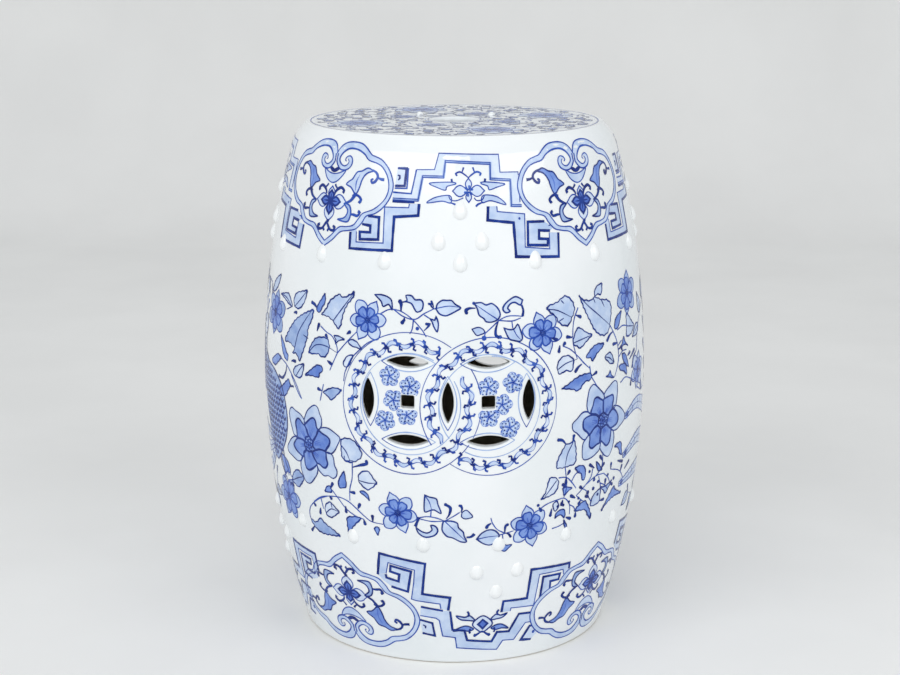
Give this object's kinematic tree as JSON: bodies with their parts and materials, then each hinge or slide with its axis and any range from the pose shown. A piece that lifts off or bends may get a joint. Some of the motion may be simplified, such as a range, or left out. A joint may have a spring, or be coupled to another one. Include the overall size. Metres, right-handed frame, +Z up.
{
  "type": "garden stool",
  "caption": "Barrel-shaped glazed porcelain garden stool with pierced double-coin openings, rows of applied bosses and a flat seat with a lifting hole.",
  "frame": {"origin": "centre of the foot ring, on the floor", "axes": "+Z up along the barrel's axis; -Y towards the front medallion; +X to a viewer's right"},
  "size_m": [0.3439, 0.3439, 0.4596],
  "materials": {
    "barrel_glaze": "gloss white glaze over porcelain, hand-painted in cobalt blue",
    "seat_glaze": "gloss white glaze over porcelain, densely painted in cobalt blue",
    "boss_glaze": "gloss white glaze",
    "cobalt_paint": "underglaze cobalt blue, gloss"
  },
  "bodies": {
    "root": {"barrel_wall": "barrel_glaze", "seat_top": "seat_glaze", "seat_pips": "boss_glaze", "upper_boss_row": "boss_glaze", "upper_boss_pairs": "boss_glaze", "upper_boss_peaks": "boss_glaze", "lower_boss_row": "boss_glaze", "lower_boss_pairs": "boss_glaze", "lower_boss_peaks": "boss_glaze"}
  },
  "joints": []
}
